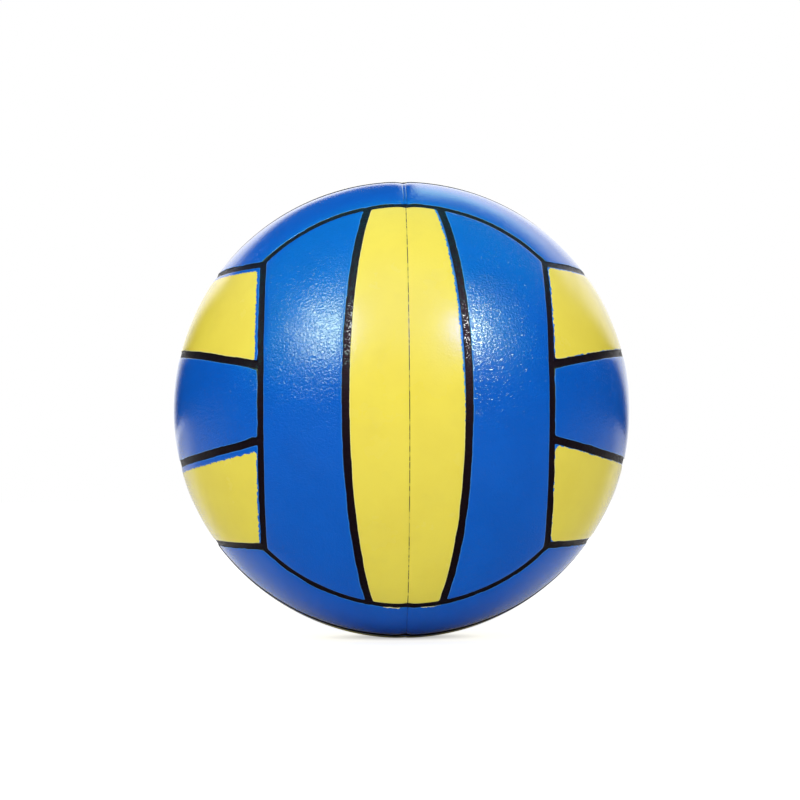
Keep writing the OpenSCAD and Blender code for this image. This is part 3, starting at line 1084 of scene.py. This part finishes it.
def lining_mesh(finish):
    """The net as one closed solid, its top at the channels' floor and its underside on the carcass."""
    half = CHANNEL_W / 2
    across = np.linspace(-half, half, LINING_CELLS + 1)
    grids = []
    for face in FACES:
        turn = turn_to(face).T
        for ribbons in (seam_ribbons, end_ribbons):
            grids += [(points @ turn, walls, ribbons) for points, walls in ribbons(half, across)]
    places = np.concatenate([points.reshape(-1, 3) for points, _, _ in grids])
    walls = np.concatenate([distances.reshape(-1) for _, distances, _ in grids])
    rounded = np.round(places / SAME_PLACE).astype(int)
    _, first, same = np.unique(rounded, axis=0, return_index=True, return_inverse=True)
    same = same.reshape(-1)
    faces, start, ends = [], 0, []
    for points, _, ribbons in grids:
        rows, columns = points.shape[:2]
        index = same[start : start + rows * columns].reshape(rows, columns)
        quads = np.stack([index[:-1, :-1], index[:-1, 1:], index[1:, 1:], index[1:, :-1]], -1).reshape(-1, 4)
        corners = places[first[quads[0]]]
        outward = np.dot(np.cross(corners[1] - corners[0], corners[3] - corners[0]), corners[0])
        faces += [tuple(quad if outward > 0 else quad[::-1]) for quad in quads.tolist()]
        start += rows * columns
        if ribbons is end_ribbons:
            ends += [index[:, 0].tolist(), index[:, -1].tolist()]
    places, walls = places[first], walls[first]
    edges = used_edges(faces)
    corners = {}
    for end in ends:
        corners.setdefault(tuple(np.sign(places[end[0]]).astype(int)), []).append(end)
    for group in corners.values():
        centre = len(places)
        places = np.concatenate([places, [places[np.array(group)].reshape(-1, 3).mean(0)]])
        walls = np.append(walls, half)
        for end in group:
            for a, b in zip(end, end[1:]):
                faces.append((b, a, centre) if (a, b) in edges else (a, b, centre))
    outlines = open_loops(faces)
    places = wander(places)
    places /= np.linalg.norm(places, axis=1)[:, None]
    height = MENISCUS * np.exp(-walls / MENISCUS_LEN)
    height += FLASH_H * np.exp(-(((places[:, 0] * BALL_R - FLASH_X) / FLASH_W) ** 2))
    count = len(places)
    under = places * (BALL_R - PANEL_T)
    top = places * (LINING_R + height)[:, None]
    solid = faces + [tuple(corner + count for corner in reversed(quad)) for quad in faces]
    for loop in outlines:
        for k, corner in enumerate(loop):
            after = loop[(k + 1) % len(loop)]
            solid.append((after, corner, corner + count, after + count))
    mesh = bpy.data.meshes.new("channel_net")
    mesh.from_pydata(np.concatenate([top, under]).tolist(), [], solid)
    mesh.shade_smooth()
    mesh.set_sharp_from_angle(angle=NET_SHARP_ANGLE)
    mesh.materials.append(finish)
    return mesh


channel_finish, tree, shader = new_finish(
    "channel black", Specular_IOR_Level=0.12, Specular_Tint=CHANNEL_GLINT, Roughness=0.5, Coat_Roughness=0.12
)
worn = place(tree, HANDLING_MARKS, **CHANNEL_WEAR).outputs["Mask"]
tree.links.new(blend(tree, worn, CHANNEL_BLACK, CHANNEL_WORN), shader.inputs["Base Color"])
specks = noise(tree, SPECK_PITCH, 1.0)
tree.links.new(step(tree, specks, *SPECK_STEP), shader.inputs["Coat Weight"])
net_grain = place(tree, MOULDED_GRAIN, Pitch=NET_GRAIN_PITCH).outputs["Height"]
emboss(tree, shader, net_grain, NET_GRAIN_DEPTH)
emboss(tree, shader, specks, SPECK_DEPTH, socket="Coat Normal")

lining = bpy.data.objects.new("channel_net", lining_mesh(channel_finish))
bpy.context.scene.collection.objects.link(lining)
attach(lining, "root")
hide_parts("channel_lining")


# The studio: two soft boxes above the camera, to its left and its right, give the highlights.
# Four wide sea-green lamps tint the rubber's sheen, a soft fill lights only what is matt, and
# white paper behind and a pale sweep with a screen in front of the ball are what it mirrors.

CAMERA_DISTANCE = 7.213 * BALL_R
CAMERA_ELEVATION = math.radians(-2.017)
CAMERA_AZIMUTH = math.radians(-1.375)
CAMERA_ROLL = math.radians(0.284)
PHOTO_SIDE_PX = 800
FOCAL_LENGTH_PX = 1630.7
BALL_CENTRE_PX = (401.7, 409.7)

camera_data = bpy.data.cameras.new("camera")
camera_data.lens = FOCAL_LENGTH_PX / PHOTO_SIDE_PX * camera_data.sensor_width
camera_data.shift_x = (PHOTO_SIDE_PX / 2 - BALL_CENTRE_PX[0]) / PHOTO_SIDE_PX
camera_data.shift_y = (BALL_CENTRE_PX[1] - PHOTO_SIDE_PX / 2) / PHOTO_SIDE_PX
camera_data.clip_start = 0.01
camera = bpy.data.objects.new("camera", camera_data)
bpy.context.scene.collection.objects.link(camera)
bpy.context.scene.camera = camera
camera.location = (
    CAMERA_DISTANCE * math.cos(CAMERA_ELEVATION) * math.sin(CAMERA_AZIMUTH),
    -CAMERA_DISTANCE * math.cos(CAMERA_ELEVATION) * math.cos(CAMERA_AZIMUTH),
    CAMERA_DISTANCE * math.sin(CAMERA_ELEVATION),
)
aim = (-camera.location).to_track_quat("-Z", "Y").to_matrix()
camera.rotation_mode = "QUATERNION"
camera.rotation_quaternion = (aim @ Matrix.Rotation(-CAMERA_ROLL, 3, "Z")).to_quaternion()


SOFT_WHITE = (1.0, 0.94, 0.95)
LAMP_DISTANCE = 1.3
LAMPS = {
    "soft_box_left": (-39.4, 34.0, 11.0, 9.5, 26.0, True, SOFT_WHITE),
    "soft_box_right": (31.6, 33.4, 4.8, 6.6, 94.0, True, SOFT_WHITE),
    "sky_glow": (-5, 50, 34, 27, 1.75, True, (0.0, 1.0, 0.9)),
    "glow_top": (0, 97, 50, 20, 0.8, True, (0.0, 1.0, 0.8)),
    "glow_left": (-52, 32, 25, 17, 1.9, True, (0.0, 1.0, 0.7)),
    "glow_right": (44, 32, 16, 12, 2.1, True, (0.0, 1.0, 0.7)),
    "fill": (-7, 49, 20, 20, 3.75, False, (1.0, 1.0, 1.0)),
}


def soft_box(name, azimuth, elevation, half_width, half_height, radiance, glossy, colour):
    """A lamp that faces the ball, placed and sized by angles in degrees as seen from the ball."""
    width = 2 * LAMP_DISTANCE * math.tan(math.radians(half_width))
    height = 2 * LAMP_DISTANCE * math.tan(math.radians(half_height))
    lamp = bpy.data.lights.new(name, "AREA")
    lamp.shape = "RECTANGLE"
    lamp.size = width
    lamp.size_y = height
    lamp.energy = radiance * math.pi * width * height
    lamp.color = colour
    holder = bpy.data.objects.new(name, lamp)
    bpy.context.scene.collection.objects.link(holder)
    turn, lift = math.radians(azimuth), math.radians(elevation)
    holder.location = (
        LAMP_DISTANCE * math.cos(lift) * math.sin(turn),
        -LAMP_DISTANCE * math.cos(lift) * math.cos(turn),
        LAMP_DISTANCE * math.sin(lift),
    )
    holder.rotation_mode = "QUATERNION"
    holder.rotation_quaternion = (-holder.location).to_track_quat("-Z", "Y")
    holder.visible_glossy = glossy
    holder.visible_diffuse = not glossy


for lamp_name, lamp_values in LAMPS.items():
    soft_box(lamp_name, *lamp_values)

AMBIENT_LEFT = 0.47
AMBIENT_RIGHT = 0.37
STUDIO_DARK = (0.02, 0.02, 0.02, 1)
UPPER_GLOW = (0.030, 0.12, 0.38, 1)
UPPER_GLOW_STEP = (0.3, 0.6)
WHITE = (1, 1, 1, 1)
RIM_LEAN = 0.97
RIGHT_LEAN = -0.17
RIGHT_STEP = (0.74, 0.92)
SWEEP = 1.25
SWEEP_LEAN = 0.72
SWEEP_STEP = (0.56, 0.88)
SWEEP_TOP = (0.51, 0.39)
SWEEP_RISE = (0.15, 0.35, 1.0, 1.22)
SCREEN = 1.21
SCREEN_SIDE = (0.058, 0.116)
SCREEN_LEAN = 0.35
SCREEN_EDGE = (0.85, 0.72)
SCREEN_RISE = (0.38, 0.60, 0.95, 1.3)
SCREEN_TOP = (0.55, 1.0, 0.85, 1)
SCREEN_TOP_STEP = (0.48, 0.72)

world = bpy.data.worlds.new("studio")
bpy.context.scene.world = world
world.use_nodes = True
world.cycles.sampling_method = "NONE"
tree = world.node_tree
tree.nodes.clear()

way = add(tree, "SeparateXYZ", {"Vector": add(tree, "TexCoord").outputs["Generated"]}).outputs
rising = scaled_sum(tree, way["Z"], RIM_LEAN, way["Y"])
right_edge = step(tree, scaled_sum(tree, way["X"], RIGHT_LEAN, rising), *RIGHT_STEP)
sweep = product(
    tree,
    step(tree, scaled_sum(tree, way["X"], SWEEP_LEAN, rising), *SWEEP_STEP),
    right_edge,
    step(tree, way["Z"], *SWEEP_TOP),
    step(tree, way["Z"], *SWEEP_RISE),
)
slant = calc(tree, "DIVIDE", way["X"], way["Z"])
screen = product(
    tree,
    step(tree, slant, *SCREEN_SIDE),
    right_edge,
    step(tree, scaled_sum(tree, way["X"], SCREEN_LEAN, way["Z"]), *SCREEN_EDGE),
    step(tree, way["Z"], *SCREEN_RISE),
)
sweep = product(tree, sweep, SWEEP)
screen = product(tree, screen, SCREEN)
lit = calc(tree, "MAXIMUM", sweep, screen)
backdrop = add(tree, "Background", {"Strength": lit})
screen_colour = blend(tree, step(tree, way["Z"], *SCREEN_TOP_STEP), WHITE, SCREEN_TOP)
tree.links.new(screen_colour, backdrop.inputs["Color"])
dim_colour = blend(tree, step(tree, way["Z"], *UPPER_GLOW_STEP), STUDIO_DARK, UPPER_GLOW)
dim = add(tree, "Background", {"Color": dim_colour})
backdrop = add(tree, "AddShader", {0: backdrop.outputs[0], 1: dim.outputs[0]})
ambient_level = step(tree, way["X"], -1.0, 1.0, AMBIENT_LEFT, AMBIENT_RIGHT)
ambient = add(tree, "Background", {"Color": WHITE, "Strength": ambient_level})
paper_white = add(tree, "Background", {"Color": WHITE, "Strength": 1.0})


def by_ray(tree, output, lighting, mirrored, pale):
    """One shader for matt light, one for what is mirrored, and one for what the camera sees."""
    ray = add(tree, "LightPath").outputs
    reflected = calc(tree, "MAXIMUM", ray["Is Glossy Ray"], ray["Is Transmission Ray"])
    mixed = add(tree, "MixShader", {0: reflected, 1: lighting.outputs[0], 2: mirrored.outputs[0]})
    mixed = add(tree, "MixShader", {0: ray["Is Camera Ray"], 1: mixed.outputs[0], 2: pale.outputs[0]})
    add(tree, output, {"Surface": mixed.outputs[0]})


by_ray(tree, "OutputWorld", ambient, backdrop, paper_white)


# The floor is a sheet of white paper. The camera sees it run back to white, with a faint shade only where
# the ball stands, deepened by a painted contact shadow. The rubber mirrors it darker in front and pale
# behind the ball, as painted shade and light, and a painted glow from the floor lights the ball from below.

FLOOR_HALF = 3.0
FLOOR_WHITE = (0.95, 0.95, 0.95, 1)
FLOOR_SHADE = (0.55, 0.55, 0.55, 1)
FLOOR_FRONT = (0.12, 0.12, 0.12, 1)
FLOOR_BACK = (0.95, 0.95, 0.95, 1)
FLOOR_GLOW = 0.92
PAINTED_SHADOW_GLOW = 0.42
FLOOR_PAINTED_GLOW = 0.07
FLOOR_SIDE_GLOW = 0.12
FLOOR_MIRRORED_GLOW = 0.28
PAINTED_SHADOW_REACH = (0.002, 0.020)
PAINTED_SHADOW_SHAPE = (0.45, 1.0, 0.0)
PAINTED_GLOW_STEP = (0.004, 0.05)
SIDE_GLOW_STEP = (0.06, 0.35)
BACK_LEAN = -0.78
BACK_STEP = (-0.12, 0.04)
MIRRORED_GLOW_STEP = (0.02, 0.09)
MIRRORED_GLOW_FROM = (-0.055, 0.005)

floor_corners = [(-FLOOR_HALF, -FLOOR_HALF), (FLOOR_HALF, -FLOOR_HALF)]
floor_corners += [(FLOOR_HALF, FLOOR_HALF), (-FLOOR_HALF, FLOOR_HALF)]
floor_mesh = bpy.data.meshes.new("floor")
floor_mesh.from_pydata([(x, y, -BALL_R) for x, y in floor_corners], [], [(0, 1, 2, 3)])
floor = bpy.data.objects.new("floor", floor_mesh)
bpy.context.scene.collection.objects.link(floor)
floor_finish = bpy.data.materials.new("pale floor")
floor_finish.use_nodes = True
tree = floor_finish.node_tree
tree.nodes.clear()
lit_paper = add(tree, "BsdfDiffuse", {"Color": FLOOR_WHITE})
floor_place = add(tree, "TexCoord").outputs["Object"]


def distance(tree, where, stretch):
    """The distance from the point under the ball, with each axis stretched or left out."""
    moved = add(tree, "VectorMath", {0: where, 1: stretch}, operation="MULTIPLY").outputs["Vector"]
    return add(tree, "VectorMath", {0: moved}, operation="LENGTH").outputs["Value"]


def glowing(tree, matt, level):
    """A matt surface that also gives off white light of a given level."""
    glow = add(tree, "Emission", {"Color": WHITE, "Strength": level})
    return add(tree, "AddShader", {0: matt.outputs[0], 1: glow.outputs[0]})


from_ball = distance(tree, floor_place, (1.0, 1.0, 0.0))
# The floor glows towards the ball: painted light from below, faded out close to the ball as painted shade,
# and stronger far to the sides.
painted_glow_level = step(tree, from_ball, *PAINTED_GLOW_STEP, 0.0, FLOOR_PAINTED_GLOW)
floor_parts = add(tree, "SeparateXYZ", {"Vector": floor_place}).outputs
floor_side = calc(tree, "ABSOLUTE", floor_parts["X"])
side_glow_level = step(tree, floor_side, *SIDE_GLOW_STEP, 0.0, FLOOR_SIDE_GLOW)
lighting = glowing(tree, lit_paper, calc(tree, "ADD", painted_glow_level, side_glow_level))
# What the rubber mirrors of the floor is painted: shade in front of the ball, light behind it, and a glow
# behind the ball away from it.
sweep_floor = step(tree, scaled_sum(tree, floor_side, BACK_LEAN, floor_parts["Y"]), *BACK_STEP)
mirrored = add(tree, "BsdfDiffuse", {"Color": blend(tree, sweep_floor, FLOOR_FRONT, FLOOR_BACK)})
mirrored_glow_level = step(tree, from_ball, *MIRRORED_GLOW_STEP, 0.0, FLOOR_MIRRORED_GLOW)
mirrored_glow_level = product(tree, mirrored_glow_level, step(tree, floor_parts["Y"], *MIRRORED_GLOW_FROM))
mirrored = glowing(tree, mirrored, mirrored_glow_level)
shade = add(tree, "BsdfDiffuse", {"Color": FLOOR_SHADE})
# Round the point under the ball the glow the camera sees is lowered: a painted contact shadow, over the
# shade that the ball casts.
from_contact = distance(tree, floor_place, PAINTED_SHADOW_SHAPE)
pale = glowing(tree, shade, step(tree, from_contact, *PAINTED_SHADOW_REACH, PAINTED_SHADOW_GLOW, FLOOR_GLOW))
by_ray(tree, "OutputMaterial", lighting, mirrored, pale)
floor_mesh.materials.append(floor_finish)

bpy.context.scene.view_settings.view_transform = "Standard"
